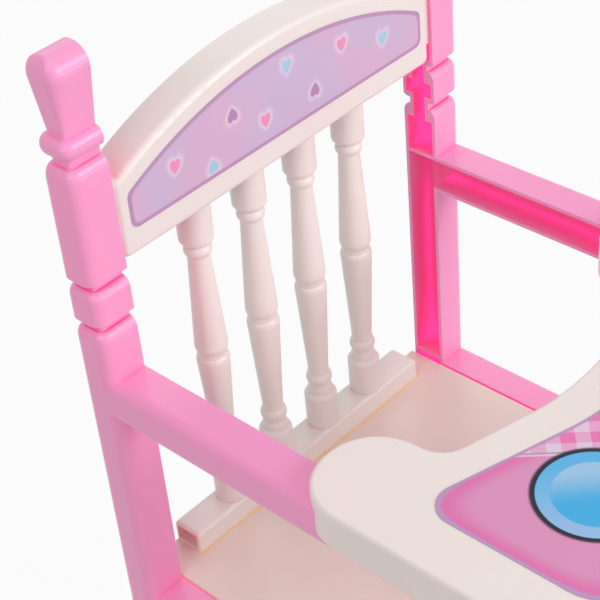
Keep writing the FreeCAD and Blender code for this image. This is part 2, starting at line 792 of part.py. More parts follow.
# ---------------------------------------------------------------- footrest, stretchers, caps
def round_outer_edges(block):
    """Rounds the upright outer edges of a block to suit the hollow of a leg."""
    outer = [edge for edge in edges_along(block, "z", 5) if edge.BoundBox.XMin > half_inner + 5]
    return block.makeFillet(edge_radius - wall, outer)


footrest_y = leg_y(footrest_height - footrest_skirt / 2, True)
footrest_z = footrest_height - footrest_skirt / 2


def footrest():
    """Footrest: a ribbed shelf between the front legs, with a tab in the hollow of each leg."""
    half = seat_half
    low = footrest_height - footrest_skirt
    front = footrest_y - footrest_reach
    back = footrest_y + post_depth / 2 - wall - fit
    outside = box(-half, half, front, back, low, footrest_height)
    uprights = edges_along(outside, "z", footrest_skirt - 1)
    outside = outside.makeFillet(18.0, [edge for edge in uprights if edge.BoundBox.YMax < front + 1])
    outside = outside.makeFillet(1.6, edges_at(outside, "z", footrest_height))
    hollow = box(-half + wall, half - wall, front + wall, back - wall, low - 1, footrest_height - footrest_thick)
    hollow = hollow.makeFillet(15.8, [edge for edge in edges_along(hollow, "z", 5)
                                      if edge.BoundBox.YMax < front + wall + 1])
    shelf = outside.cut(hollow)
    treads = []
    for k in range(4):
        y = front + 14 + k * 9
        tread = box(-half + 22, half - 22, y, y + 3, footrest_height - 1, footrest_height + 1)
        treads.append(tread.makeFillet(0.9, edges_at(tread, "z", footrest_height + 1)))
    z = upright_z(footrest_z, True)
    y0 = front_post_front + wall + fit
    tab = box(half - 6, half_outer - wall - fit, y0, y0 + post_depth - 2 * (wall + fit), z - 4.5, z + 4.5)
    tab = round_outer_edges(tab)
    tabs = both_sides([splay(tab, True)])
    holes = both_sides([screw_hole(footrest_screw(), V(-1, 0, 0))])
    return shelf.multiFuse(treads + tabs).cut(fused(holes)).removeSplitter()


def footrest_screw():
    """Where the +X footrest screw's head rests on the outside of the front leg."""
    return V(half_outer, footrest_y, footrest_z)


def stretcher(front):
    """Turned stretcher between two legs, its ends inside their hollows."""
    end = half_outer - wall - fit
    big_radius = stretcher_diameter / 2
    slim = big_radius * 0.62
    mid = big_radius * 0.86
    half = [
        (6.0, mid + 0.4, big_radius), (9.0, slim + 0.6), (11.0, slim + 0.6),
        (17.0, slim + 0.8, big_radius * 0.9), (20.0, slim + 0.8), (58.0, big_radius - 0.6),
        (60.0, slim + 1.4), (62.5, slim + 1.4), (65.0, big_radius - 0.8), (92.0, slim),
        (94.0, slim), (100.0, slim + 0.2, big_radius * 0.9), (102.0, slim + 0.2),
        (104.0, big_radius), (end - 4.2, big_radius), (end, big_radius - 3.6),
    ]
    left = [(-x, radius) for x, radius, *bulge in half[::-1]]
    profile = []
    for k, pair in enumerate(left):
        bulge = half[::-1][k - 1][2:] if k else ()
        profile.append(pair + tuple(bulge))
    profile.append((0.0, big_radius))
    profile = profile[:-1] + [(half[0][0], half[0][1], big_radius)] + [tuple(p) for p in half[1:]]
    y = leg_y(stretcher_height, front)
    rod_solid = lathe(profile, V(0, y, stretcher_height), V(1, 0, 0))
    holes = both_sides([screw_hole(stretcher_screw(front), V(-1, 0, 0))])
    return rod_solid.cut(fused(holes))


def stretcher_screw(front):
    """Where the +X screw of a stretcher rests on the outside of its leg."""
    return V(half_outer, leg_y(stretcher_height, front), stretcher_height)


def leg_cap(front):
    """Plastic glide under a leg, +X side, with a plug that goes up into its hollow."""
    slab = box(0, big, -big, big, 0, cap_thick)
    sole = leg_outer(front).common(slab)
    sole = sole.makeFillet(0.8, edges_at(sole, "z", 0))
    y0 = leg_y0(front) + wall + fit
    depth = post_depth - 2 * (wall + fit)
    plug = round_outer_edges(box(half_inner + 1, half_outer - wall - fit, y0, y0 + depth,
                                 upright_z(-5, front), upright_z(cap_thick + cap_plug, front)))
    plug = splay(plug, front).common(box(0, big, -big, big, cap_thick / 2, big))
    return sole.fuse(plug).removeSplitter()


# ---------------------------------------------------------------- the chair
def screw_sets():
    """Each set of like screws, by name, as (head seat, direction, length) on the +X side or the middle."""
    outward = V(-1, 0, 0)
    up = V(0, 0, 1)
    return {
        "crest_screws": [(tenon_screw, V(0, -1, 0), screw_length)],
        "seat_screws": [(at, up, screw_length) for at in seat_screw_places()],
        "stretcher_screws": [(stretcher_screw(front), outward, screw_length) for front in (True, False)],
        "footrest_screws": [(footrest_screw(), outward, screw_length)],
        "tray_clip_screws": [(clip_screw_seat(), up, clip_boss)],
    }


def finish_side_frame():
    """The +X side frame with its screw holes."""
    frame = side_frame()
    holes = []
    for name, screws in screw_sets().items():
        if name != "tray_clip_screws":
            holes += [screw_hole(at, way, length) for at, way, length in screws]
    return frame.cut(fused(holes)).removeSplitter()


def make_chair():
    """Every piece of the chair by its name."""
    frame = finish_side_frame()
    pieces = {
        "side_frame_right": frame,
        "side_frame_left": mirrored(frame),
        "crest_rail": crest_rail(),
        "crest_label": crest_label(),
        "back_bottom_rail": back_bottom_rail(),
        "seat_panel": seat_panel(),
        "tray": tray(),
        "tray_label": tray_label(),
        "tray_clip_right": tray_clip(),
        "tray_clip_left": mirrored(tray_clip()),
        "footrest": footrest(),
        "front_stretcher": stretcher(True),
        "rear_stretcher": stretcher(False),
    }
    for number, x in enumerate(spindle_places(), 1):
        pieces["spindle_%d" % number] = spindle(x)
    for front, where in ((True, "front"), (False, "rear")):
        cap = leg_cap(front)
        pieces["leg_cap_%s_right" % where] = cap
        pieces["leg_cap_%s_left" % where] = mirrored(cap)
    for name, screws in screw_sets().items():
        made = [screw(at, way, length) for at, way, length in screws]
        pieces[name] = Part.makeCompound(both_sides(made))
    rail_screws = [screw(at, V(0, 0, 1), rail_height - 3) for at in rail_screw_places()]
    pieces["back_rail_screws"] = Part.makeCompound(rail_screws)
    return pieces


os.makedirs("parts", exist_ok=True)
for piece_name, piece_shape in make_chair().items():
    piece_shape.exportStep("parts/%s.step" % piece_name)
    bounds = piece_shape.BoundBox
    print("%-20s solids %d valid %s volume %.1f cm3  x %.1f..%.1f  y %.1f..%.1f  z %.1f..%.1f" % (
        piece_name, len(piece_shape.Solids), piece_shape.isValid(), piece_shape.Volume / 1000,
        bounds.XMin, bounds.XMax, bounds.YMin, bounds.YMax, bounds.ZMin, bounds.ZMax))
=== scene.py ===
# %% [markdown]
# # A toy high chair for dolls
#
# The chair is made of injection-moulded plastic: two pink side frames, a cream back with turned spindles,
# a cream seat and a cream tray. Its exact solids are loaded first, as a frame that stays where it is.
# Everything after that is about its looks: finishes, prints, screws, light and the camera.

# %% Load the frame
import math

import bmesh
import bpy
from mathutils import Matrix, Vector


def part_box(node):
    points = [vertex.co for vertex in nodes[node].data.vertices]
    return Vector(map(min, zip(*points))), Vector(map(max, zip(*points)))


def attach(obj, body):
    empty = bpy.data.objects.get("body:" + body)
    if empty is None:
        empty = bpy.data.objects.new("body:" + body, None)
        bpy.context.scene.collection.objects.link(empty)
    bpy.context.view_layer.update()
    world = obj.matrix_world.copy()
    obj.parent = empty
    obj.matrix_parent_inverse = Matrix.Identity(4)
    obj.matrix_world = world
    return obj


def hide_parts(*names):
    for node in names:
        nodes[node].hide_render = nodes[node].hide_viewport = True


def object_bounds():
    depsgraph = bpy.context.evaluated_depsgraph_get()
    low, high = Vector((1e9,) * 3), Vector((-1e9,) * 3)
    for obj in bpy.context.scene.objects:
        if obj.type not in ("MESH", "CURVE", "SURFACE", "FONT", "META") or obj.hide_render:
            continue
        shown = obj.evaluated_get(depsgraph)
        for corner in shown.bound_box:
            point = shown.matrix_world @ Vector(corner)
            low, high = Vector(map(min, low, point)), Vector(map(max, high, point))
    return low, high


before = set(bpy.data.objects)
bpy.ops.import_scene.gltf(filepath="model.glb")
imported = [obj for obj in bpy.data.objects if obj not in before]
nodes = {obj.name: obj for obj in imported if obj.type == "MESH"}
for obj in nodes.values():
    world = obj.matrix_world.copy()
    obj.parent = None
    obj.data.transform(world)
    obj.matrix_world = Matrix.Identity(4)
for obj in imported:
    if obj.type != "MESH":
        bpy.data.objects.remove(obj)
cad_low, cad_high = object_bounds()
MM = 0.001
print("chair box in mm:", [round(v / MM, 1) for v in cad_high - cad_low])

# %% [markdown]
# ## The camera
#
# A fairly long lens looks down over the left shoulder of the chair, from in front of it. The view
# direction is written as an azimuth, an elevation and a small roll, because these are easier to read and
# to change than a matrix. The camera's three axes are worked out from them. Its place is measured from
# the middle of the chair, the front of the back posts and the top of the armrests.

# %% Camera
view_azimuth = math.radians(-44.13)
view_elevation = math.radians(37.56)
view_roll = math.radians(-5.65)
tray_above_armrests = 8 * MM
crest_setback = 1.5 * MM
armrest_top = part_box("tray")[1].z - tray_above_armrests
post_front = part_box("crest_rail")[0].y - crest_setback
camera_left, camera_ahead, camera_above = 520.3 * MM, 532.2 * MM, 540.3 * MM
camera_place = Vector((-camera_left, post_front - camera_ahead, armrest_top + camera_above))

backward = Vector((
    math.sin(view_azimuth) * math.cos(view_elevation),
    -math.cos(view_azimuth) * math.cos(view_elevation),
    math.sin(view_elevation),
))
level_right = Vector((0, 0, 1)).cross(backward).normalized()
level_up = backward.cross(level_right)
rolled_right = level_right * math.cos(view_roll) + level_up * math.sin(view_roll)
rolled_up = level_up * math.cos(view_roll) - level_right * math.sin(view_roll)
camera_data = bpy.data.cameras.new("camera")
camera_data.lens = 99.1
camera_data.sensor_width = 36
camera_data.clip_start = 0.01
camera = bpy.data.objects.new("camera", camera_data)
camera.matrix_world = (
    Matrix.Translation(camera_place)
    @ Matrix((rolled_right, rolled_up, backward)).transposed().to_4x4()
)
bpy.context.scene.collection.objects.link(camera)
bpy.context.scene.camera = camera
print("camera at", [round(v, 3) for v in camera_place], "lens", round(camera_data.lens, 1))

# %% [markdown]
# ## Small helpers for building materials
#
# A material is a tree of nodes. A few helpers keep the cells below short. The first ones add a node and
# set its properties, fill an input with either a number or another node's socket, and add a maths node.

# %% Node helpers


def add_node(tree, kind, **settings):
    """A new node of a kind, with its properties set."""
    node = tree.nodes.new(kind)
    for name, value in settings.items():
        setattr(node, name, value)
    return node


def feed(tree, socket, value):
    """Links a socket to an input, or writes a plain value on it."""
    if isinstance(value, bpy.types.NodeSocket):
        tree.links.new(value, socket)
    elif value is not None:
        socket.default_value = value


def maths(tree, operation, *values, clamp=False):
    """One maths node; returns its result."""
    node = add_node(tree, "ShaderNodeMath", operation=operation, use_clamp=clamp)
    for socket, value in zip(node.inputs, values):
        feed(tree, socket, value)
    return node.outputs[0]


print("node helpers: add_node, feed, maths")

# %% [markdown]
# Two more come back all the time: a mix of two colours, and a smooth step from 0 to 1.

# %% Mix and step


def mix_colour(tree, share, first, second, blend="MIX"):
    """Mixes two colours by a share from 0 to 1."""
    node = add_node(tree, "ShaderNodeMix", data_type="RGBA", blend_type=blend)
    feed(tree, node.inputs["Factor"], share)
    feed(tree, node.inputs[6], first)
    feed(tree, node.inputs[7], second)
    return node.outputs[2]


def ramp(tree, value, low, high):
    """Smooth step of a value: 0 below low, 1 above high."""
    node = add_node(tree, "ShaderNodeMapRange", interpolation_type="SMOOTHSTEP")
    feed(tree, node.inputs["Value"], value)
    feed(tree, node.inputs["From Min"], low)
    feed(tree, node.inputs["From Max"], high)
    return node.outputs["Result"]


print("mixing helpers: mix_colour, ramp")

# %% [markdown]
# A shader works with linear light, while a colour is easier to judge as the screen shows it. So colours
# are written below as eight-bit screen values, and this turns them into linear ones.

# %% Screen colours


def linear(red, green, blue):
    """A colour given as eight-bit screen values, as the linear colour that a shader needs."""
    channels = []
    for value in (red, green, blue):
        share = value / 255
        channels.append(share / 12.92 if share <= 0.04045 else ((share + 0.055) / 1.055) ** 2.4)
    return (*channels, 1.0)


print("middle grey of the screen in linear light:", round(linear(128, 128, 128)[0], 3))

# %% [markdown]
# An effect that several materials share becomes a node group, with named inputs and outputs.

# %% Node groups


def new_group(name, inputs, outputs):
    """An empty node group with named sockets, and its two end nodes."""
    tree = bpy.data.node_groups.new(name, "ShaderNodeTree")
    for label, kind, value in inputs:
        socket = tree.interface.new_socket(label, in_out="INPUT", socket_type=kind)
        if value is not None:
            socket.default_value = value
    for label, kind in outputs:
        tree.interface.new_socket(label, in_out="OUTPUT", socket_type=kind)
    return tree, add_node(tree, "NodeGroupInput"), add_node(tree, "NodeGroupOutput")


def place_group(tree, group, **values):
    """A copy of a node group in a material, with its own values (spaces in names become underscores)."""
    node = add_node(tree, "ShaderNodeGroup", node_tree=group)
    for name, value in values.items():
        feed(tree, node.inputs[name.replace("_", " ")], value)
    return node


print("group helpers: new_group, place_group")

# %% [markdown]
# ## Effects shared by the plastics
#
# Two effects turn up on every moulded piece. The first is the skin: polished plastic is never quite even,
# so its colour drifts a little over centimetres, its gloss is broken by faint handling marks, and the
# surface has a shallow ripple where it shrank.

# %% Group: moulded skin
FLOAT, COLOUR, VECTOR = "NodeSocketFloat", "NodeSocketColor", "NodeSocketVector"


def moulded_skin_group():
    """Colour drift, uneven gloss, a shallow ripple and a fine peel, all from noise at several sizes."""
    tree, start, end = new_group(
        "moulded skin",
        [("Position", VECTOR, None), ("Colour", COLOUR, None), ("Drift", FLOAT, 0.04),
         ("Roughness", FLOAT, 0.3), ("Handling", FLOAT, 0.05)],
        [("Colour", COLOUR), ("Roughness", FLOAT), ("Height", FLOAT)],
    )

    def noise(scale, detail):
        node = add_node(tree, "ShaderNodeTexNoise")
        feed(tree, node.inputs["Vector"], start.outputs["Position"])
        node.inputs["Scale"].default_value = scale
        node.inputs["Detail"].default_value = detail
        return node.outputs["Fac"]

    drift = maths(tree, "SUBTRACT", noise(22, 2), 0.5)
    value = maths(tree, "MULTIPLY_ADD", drift, start.outputs["Drift"], 1.0)
    shade = add_node(tree, "ShaderNodeHueSaturation")
    feed(tree, shade.inputs["Value"], value)
    feed(tree, shade.inputs["Color"], start.outputs["Colour"])
    tree.links.new(shade.outputs["Color"], end.inputs["Colour"])
    smudge = maths(tree, "SUBTRACT", noise(65, 2), 0.5)
    rough = maths(tree, "MULTIPLY_ADD", smudge, start.outputs["Handling"], start.outputs["Roughness"])
    tree.links.new(rough, end.inputs["Roughness"])
    peel = maths(tree, "MULTIPLY_ADD", noise(240, 0), 0.04, noise(26, 0))
    tree.links.new(peel, end.inputs["Height"])
    return tree


skin_group = moulded_skin_group()
print("skin group:", len(skin_group.nodes), "nodes")

# %% [markdown]
# The second effect is what happens in hollows. Light that gets into a deep channel bounces between
# coloured walls, so the plastic looks richer there. Ambient occlusion tells how deep a point lies, and
# that share mixes in a stronger colour. The walls are only about two millimetres thick, so some light
# also comes through them from outside. It is added as a weak glow, in the deepest places only.

# %% Group: hollow tint


def hollow_tint_group():
    """Mixes an open colour with a deep one by how closed in a point is."""
    tree, start, end = new_group(
        "hollow tint",
        [("Open Colour", COLOUR, None), ("Deep Colour", COLOUR, None), ("Reach", FLOAT, 0.02),
         ("Strength", FLOAT, 1.0), ("Light Through", COLOUR, None)],
        [("Colour", COLOUR), ("Glow", COLOUR)],
    )
    closed = add_node(tree, "ShaderNodeAmbientOcclusion", samples=16)
    feed(tree, closed.inputs["Distance"], start.outputs["Reach"])
    depth = maths(tree, "SUBTRACT", 1.0, closed.outputs["AO"])
    deep = ramp(tree, depth, 0.35, 0.8)
    share = maths(tree, "MULTIPLY", deep, start.outputs["Strength"], clamp=True)
    mixed = mix_colour(tree, share, start.outputs["Open Colour"], start.outputs["Deep Colour"])
    tree.links.new(mixed, end.inputs["Colour"])
    deepest = maths(tree, "MULTIPLY", ramp(tree, depth, 0.58, 0.86), start.outputs["Strength"])
    shining = mix_colour(tree, deepest, (0, 0, 0, 1), start.outputs["Light Through"])
    tree.links.new(shining, end.inputs["Glow"])
    return tree


hollow_group = hollow_tint_group()
print("tint group:", len(hollow_group.nodes), "nodes")

# %% [markdown]
# ## The plastics
#
# Plastics, prints and steel all wear the skin in the same way: it feeds the Principled shader's colour
# and roughness, and a bump node turns its height into relief.

# %% Put a skin on a shader


def put_skin_on(tree, shader, relief, strength, **values):
    """Runs a colour through the skin into a shader, with a relief in metres and its strength."""
    place = add_node(tree, "ShaderNodeTexCoord").outputs["Object"]
    skin = place_group(tree, skin_group, Position=place, **values)
    feed(tree, shader.inputs["Base Color"], skin.outputs["Colour"])
    feed(tree, shader.inputs["Roughness"], skin.outputs["Roughness"])
    bump = add_node(tree, "ShaderNodeBump")
    bump.inputs["Strength"].default_value = strength
    bump.inputs["Distance"].default_value = relief
    feed(tree, bump.inputs["Height"], skin.outputs["Height"])
    feed(tree, shader.inputs["Normal"], bump.outputs["Normal"])


def new_material(name):
    """A material with a Principled shader: returns it, its tree and its shader."""
    material = bpy.data.materials.new(name)
    material.use_nodes = True
    return material, material.node_tree, material.node_tree.nodes["Principled BSDF"]


print("finish helpers: put_skin_on, new_material")

# %% [markdown]
# The plastics are one recipe with different numbers, so one function makes them: the hollow tint feeds
# the skin, and a little subsurface scattering lets light travel inside the plastic, which softens the
# shadows on the thin walls. The glow's strength is the same for all of them.

# %% Plastic finish
glow_strength = 0.45
plastic_relief, plastic_relief_strength = 0.2 * MM, 0.25


def plastic(name, open_colour, deep_colour, light_through, roughness, scatter, reach, strength=1.0):
    """A moulded plastic: returns the material and the node that tints its hollows."""
    material, tree, shader = new_material(name)
    hollow = place_group(tree, hollow_group, Open_Colour=open_colour, Deep_Colour=deep_colour,
                         Reach=reach, Strength=strength, Light_Through=light_through)
    feed(tree, shader.inputs["Emission Color"], hollow.outputs["Glow"])
    shader.inputs["Emission Strength"].default_value = glow_strength
    put_skin_on(tree, shader, plastic_relief, plastic_relief_strength,
                Colour=hollow.outputs["Colour"], Roughness=roughness)
    shader.inputs["Subsurface Weight"].default_value = scatter
    shader.inputs["Subsurface Radius"].default_value = (1.0, 0.45, 0.5)
    shader.inputs["Subsurface Scale"].default_value = 4 * MM
    shader.inputs["Specular IOR Level"].default_value = 0.5
    return material, hollow


pink, _ = plastic(
    "pink plastic", linear(252, 161, 208), linear(255, 70, 150), linear(255, 100, 200),
    roughness=0.33, scatter=0.3, reach=34 * MM)
cream, _ = plastic(
    "cream plastic", linear(240, 229, 225), linear(233, 204, 194), linear(150, 92, 98),
    roughness=0.32, scatter=0.2, reach=18 * MM, strength=0.7)
glide, _ = plastic(
    "glide plastic", linear(226, 214, 206), linear(210, 190, 178), linear(120, 100, 100),
    roughness=0.55, scatter=0.05, reach=10 * MM, strength=0.5)
print("plastics:", [material.name for material in (pink, cream, glide)])

# %% [markdown]
# ## The seat's finish
#
# The seat is the same cream plastic, seen where coloured light collects on it: pink from the side
# frames, and a warm line along the foot of the back's bottom rail, where light comes through the thin
# rail. It gets its own copy of the plastic, with that line mixed in by the distance from the rail.

# %% Seat plastic
seat_plastic, seat_hollow = plastic(
    "seat plastic", linear(238, 219, 213), linear(232, 188, 180), linear(150, 92, 98),
    roughness=0.34, scatter=0.2, reach=30 * MM, strength=0.7)
rail_low, rail_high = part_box("back_bottom_rail")
line_y = rail_low.y - 0.6 * MM
line_core, line_fade, end_fade, line_share = 0.4 * MM, 2.4 * MM, 3 * MM, 0.75
tree = seat_plastic.node_tree
place = add_node(tree, "ShaderNodeSeparateXYZ")
tree.links.new(add_node(tree, "ShaderNodeTexCoord").outputs["Object"], place.inputs[0])
from_rail = maths(tree, "ABSOLUTE", maths(tree, "SUBTRACT", place.outputs["Y"], line_y))
beside_rail = maths(tree, "ABSOLUTE", place.outputs["X"])
near = maths(tree, "SUBTRACT", 1.0, ramp(tree, from_rail, line_core, line_fade))
along = maths(tree, "SUBTRACT", 1.0, ramp(tree, beside_rail, rail_high.x, rail_high.x + end_fade))
warm = maths(tree, "MULTIPLY", maths(tree, "MULTIPLY", near, along), line_share)
feed(tree, seat_hollow.inputs["Open Colour"],
     mix_colour(tree, warm, linear(238, 220, 212), linear(255, 214, 150)))
print("warm line at Y", round(line_y / MM, 1))

# %% [markdown]
# Each piece then gets its plastic, through the slots that its solid came with.

# %% Put the plastics on


def wear(material, *names):
    """Gives CAD pieces their finish and returns how many they are."""
    for name in names:
        for slot in nodes[name].material_slots:
            slot.material = material
    return len(names)


spindles = sorted(name for name in nodes if name.startswith("spindle_"))
caps = sorted(name for name in nodes if name.startswith("leg_cap_"))
dressed = wear(pink, "side_frame_left", "side_frame_right")
dressed += wear(cream, "crest_rail", "back_bottom_rail", "tray", "tray_clip_left", "tray_clip_right",
                "footrest", "front_stretcher", "rear_stretcher", *spindles)
dressed += wear(seat_plastic, "seat_panel")
dressed += wear(glide, *caps)
print("plastic pieces:", dressed)

# %% [markdown]
# ## The printed labels
#
# Two glossy stickers are set in the crest and on the tray. Their prints are drawn by maths on the place
# of each point, in millimetres, so they stay sharp at any size. Marks that come back several times, the
# little hearts and the round plates, are node groups: each takes a centre and a size, and gives masks.
#
# A heart is an old formula. The height of a point is lowered by the root of its distance from the
# middle line, and the points of a circle then form a heart.

# %% Group: heart


def heart_group():
    """Masks of a small heart and of the pale glow around it."""
    tree, start, end = new_group(
        "heart",
        [("Across", FLOAT, None), ("Up", FLOAT, None), ("Tilt", FLOAT, 0.0), ("Half Width", FLOAT, 3.5)],
        [("Heart", FLOAT), ("Glow", FLOAT)],
    )
    turned = add_node(tree, "ShaderNodeVectorRotate", rotation_type="Z_AXIS")
    joined = add_node(tree, "ShaderNodeCombineXYZ")
    feed(tree, joined.inputs[0], start.outputs["Across"])
    feed(tree, joined.inputs[1], start.outputs["Up"])
    feed(tree, turned.inputs["Vector"], joined.outputs[0])
    feed(tree, turned.inputs["Angle"], start.outputs["Tilt"])
    parts = add_node(tree, "ShaderNodeSeparateXYZ")
    feed(tree, parts.inputs[0], turned.outputs[0])
    half = start.outputs["Half Width"]
    across = maths(tree, "DIVIDE", maths(tree, "ABSOLUTE", parts.outputs[0]), half)
    up = maths(tree, "DIVIDE", parts.outputs[1], half)
    lowered = maths(tree, "MULTIPLY_ADD", maths(tree, "SQRT", across), -0.75, up)
    squares = maths(tree, "MULTIPLY_ADD", lowered, lowered, maths(tree, "MULTIPLY", across, across))
    reach = maths(tree, "SQRT", squares)
    tree.links.new(maths(tree, "SUBTRACT", 1.0, ramp(tree, reach, 0.9, 1.06)), end.inputs["Heart"])
    tree.links.new(maths(tree, "SUBTRACT", 1.0, ramp(tree, reach, 0.95, 2.1)), end.inputs["Glow"])
    return tree


heart = heart_group()
print("heart group:", len(heart.nodes), "nodes")

# %% [markdown]
# Both labels start from the place of a point in millimetres, and end as a print on a thin, slightly
# glossy coat.

# %% Label material
print_relief, print_relief_strength = 0.1 * MM, 0.2


def millimetres(tree):
    """The place of a point in millimetres, split into its three parts."""
    place = add_node(tree, "ShaderNodeTexCoord").outputs["Object"]
    larger = add_node(tree, "ShaderNodeVectorMath", operation="SCALE")
    feed(tree, larger.inputs[0], place)
    larger.inputs["Scale"].default_value = 1000
    parts = add_node(tree, "ShaderNodeSeparateXYZ")
    feed(tree, parts.inputs[0], larger.outputs[0])
    return larger.outputs[0], parts.outputs


def label_material(name):
    """An empty glossy print: returns the material, its tree and its shader."""
    material, tree, shader = new_material(name)
    shader.inputs["Coat Weight"].default_value = 0.05
    shader.inputs["Specular IOR Level"].default_value = 0.35
    shader.inputs["Coat Roughness"].default_value = 0.12
    return material, tree, shader


def print_on(tree, shader, colour):
    """Sends a drawn colour through the moulded skin, which gives it slight unevenness and gloss."""
    put_skin_on(tree, shader, print_relief, print_relief_strength,
                Colour=colour, Drift=0.03, Roughness=0.5, Handling=0.05)


print("label helpers: millimetres, label_material, print_on")

# %% [markdown]
# ## The crest's label
#
# A lilac field with a darker line round it, and eight hearts in three colours, some of them upside down.
# The distance from the label's edge is the least of three distances: from its ends, from its straight
# foot and from its arched top.

# %% Crest label: distance from the edge
crest_label, tree, shader = label_material("crest print")
place, (across, _, up) = millimetres(tree)
label_low, label_high = (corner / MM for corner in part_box("crest_label"))
arch_radius, corner_blend = 235.2, 6.0
arch_centre = label_high.z - arch_radius
sideways = maths(tree, "ABSOLUTE", across)
from_end = maths(tree, "SUBTRACT", label_high.x, sideways)
from_foot = maths(tree, "SUBTRACT", up, label_low.z)
above = maths(tree, "SUBTRACT", up, arch_centre)
radius = maths(tree, "SQRT", maths(tree, "MULTIPLY_ADD", above, above,
                                   maths(tree, "MULTIPLY", across, across)))
from_top = maths(tree, "SUBTRACT", arch_radius, radius)
edge = maths(tree, "SMOOTH_MIN", from_end, from_foot, corner_blend)
edge = maths(tree, "SMOOTH_MIN", edge, from_top, corner_blend)
print("crest label in mm:", [round(v, 1) for v in label_high - label_low])

# %% [markdown]
# The field drifts softly between two lilacs. Each heart lies in a pale glow of its own, and the line is
# drawn last, so that it stays on top.

# %% Crest label: field and hearts
clouds = add_node(tree, "ShaderNodeTexNoise")
feed(tree, clouds.inputs["Vector"], place)
clouds.inputs["Scale"].default_value = 0.035
clouds.inputs["Detail"].default_value = 1
field = mix_colour(tree, ramp(tree, clouds.outputs["Fac"], 0.35, 0.65),
                   linear(206, 182, 214), linear(216, 178, 208))
print_colours = {"pink": linear(240, 148, 192), "blue": linear(170, 203, 230),
                 "purple": linear(184, 136, 186)}
# each heart: colour, place across, place above the armrests, and tilt (half a turn is upside down)
hearts = [
    ("pink", -79.5, 98.9, -0.15), ("blue", -54.5, 88.1, math.pi + 0.1),
    ("purple", -37.4, 109.7, math.pi), ("pink", -14.6, 92.8, 0.0),
    ("blue", 3.9, 116.0, -0.1), ("purple", 23.6, 95.1, math.pi - 0.1),
    ("pink", 46.3, 109.2, 0.0), ("blue", 79.2, 97.7, -0.1),
]
heart_half_width = 3.6
for colour, x, height, tilt in hearts:
    mark = place_group(
        tree, heart,
        Across=maths(tree, "SUBTRACT", across, x),
        Up=maths(tree, "SUBTRACT", up, height + armrest_top / MM),
        Tilt=-tilt, Half_Width=heart_half_width)
    glowing = maths(tree, "MULTIPLY", mark.outputs["Glow"], 0.5)
    field = mix_colour(tree, glowing, field, linear(240, 226, 240))
    field = mix_colour(tree, mark.outputs["Heart"], field, print_colours[colour])
line = maths(tree, "SUBTRACT", 1.0, ramp(tree, edge, 1.9, 2.5))
field = mix_colour(tree, line, field, linear(190, 146, 188))
print_on(tree, shader, field)
wear(crest_label, "crest_label")
print("hearts on the crest:", len(hearts))

# %% [markdown]
# ## The tray's label
#
# The tray is laid for a meal: a pink field, a folded gingham napkin, a plate and a bowl. A plate is a
# few rings of one radius: a dark outline, a pale rim and a bright well. The group gives their masks and
# a slope, which shades the blue towards the light.

# %% Group: plate


def plate_group():
    """Masks of a round plate: its dark outline, its whole disc and its well, with a slope for shading."""
    tree, start, end = new_group(
        "plate",
        [("Across", FLOAT, None), ("Back", FLOAT, None), ("Radius", FLOAT, 29.5)],
        [("Outline", FLOAT), ("Disc", FLOAT), ("Well", FLOAT), ("Slope", FLOAT)],
    )
    across, back, radius = (start.outputs[name] for name in ("Across", "Back", "Radius"))
    squares = maths(tree, "MULTIPLY_ADD", back, back, maths(tree, "MULTIPLY", across, across))
    reach = maths(tree, "SQRT", squares)
    rim = maths(tree, "SUBTRACT", reach, radius)
    well = maths(tree, "SUBTRACT", reach, maths(tree, "MULTIPLY", radius, 0.7))
    tree.links.new(maths(tree, "SUBTRACT", 1.0, ramp(tree, rim, -0.4, 1.6)), end.inputs["Outline"])
    tree.links.new(maths(tree, "SUBTRACT", 1.0, ramp(tree, rim, -2.5, -1.9)), end.inputs["Disc"])
    tree.links.new(maths(tree, "SUBTRACT", 1.0, ramp(tree, well, -0.5, 0.3)), end.inputs["Well"])
    slope = maths(tree, "DIVIDE", maths(tree, "ADD", across, back), maths(tree, "MULTIPLY", radius, 1.8))
    tree.links.new(maths(tree, "ADD", slope, 0.5, clamp=True), end.inputs["Slope"])
    return tree


plate = plate_group()
print("plate group:", len(plate.nodes), "nodes")

# %% [markdown]
# The label's rear edge falls from both sides to a rounded valley in the middle, where the doll sits. The
# distance from the edge is again the least of several distances, blended where they meet.

# %% Tray label: distance from the edge
tray_label, tree, shader = label_material("tray print")
across, back, _ = millimetres(tree)[1]
label_low, label_high = (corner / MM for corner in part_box("tray_label"))
rear_rise, valley_depth, valley_radius = 36.5, 72, 120.0
side_blend, front_blend = 34.0, 42.0
rear_slope = rear_rise / label_high.x
slope_length = math.hypot(1, rear_slope)
valley_y = label_low.y + valley_depth
sideways = maths(tree, "ABSOLUTE", across)
from_side = maths(tree, "SUBTRACT", label_high.x, sideways)
from_front = maths(tree, "SUBTRACT", back, label_low.y)
below_valley = maths(tree, "SUBTRACT", valley_y, back)
from_line = maths(tree, "DIVIDE", maths(tree, "MULTIPLY_ADD", sideways, rear_slope, below_valley),
                  slope_length)
valley_centre = valley_y + valley_radius * slope_length
below_centre = maths(tree, "SUBTRACT", valley_centre, back)
from_arc = maths(tree, "SUBTRACT", maths(tree, "SQRT", maths(
    tree, "MULTIPLY_ADD", below_centre, below_centre, maths(tree, "MULTIPLY", across, across))),
    valley_radius)
outer = maths(tree, "GREATER_THAN", sideways, valley_radius * rear_slope / slope_length)
from_rear = maths(tree, "MULTIPLY_ADD", outer, maths(tree, "SUBTRACT", from_line, from_arc), from_arc)
edge = maths(tree, "SMOOTH_MIN", from_side, from_rear, side_blend)
edge = maths(tree, "SMOOTH_MIN", edge, from_front, front_blend)
print("tray label in mm:", [round(v, 1) for v in label_high - label_low])

# %% [markdown]
# The napkin's left edge runs from a corner at the back towards the middle of the front, and its right
# edge mirrors it. Two sets of stripes, one along that edge and one away from it, cross into gingham.

